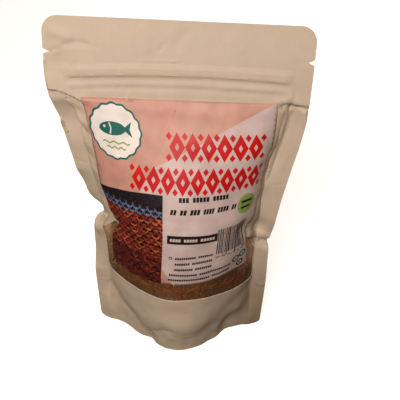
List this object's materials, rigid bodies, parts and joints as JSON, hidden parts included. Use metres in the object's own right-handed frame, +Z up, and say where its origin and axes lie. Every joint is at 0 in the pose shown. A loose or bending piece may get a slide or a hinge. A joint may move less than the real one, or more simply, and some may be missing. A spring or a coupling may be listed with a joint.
{
  "type": "kraft stand-up pouch of dried crayfish",
  "caption": "Shut kraft paper stand-up pouch of dried crayfish, with a zip header, flat side seals, a low clear window and a pasted front label.",
  "frame": {"origin": "middle of the pouch's box in plan, on the surface it stands on", "axes": "+Z up along the pouch's height, +X to the right across its width, and the label faces -Y"},
  "size_m": [0.14, 0.0744, 0.213],
  "materials": {
    "kraft": "matt uncoated kraft paper with faint fibres and soft creases",
    "film": "clear plastic film, glossy, slightly hazy",
    "crayfish": "dry brown-orange shells, dull with small glints",
    "label": "semi-gloss printed paper with flat colour fields"
  },
  "bodies": {
    "root": {"pouch": "kraft", "window": "film", "crayfish": "crayfish", "label": "label"}
  },
  "joints": []
}
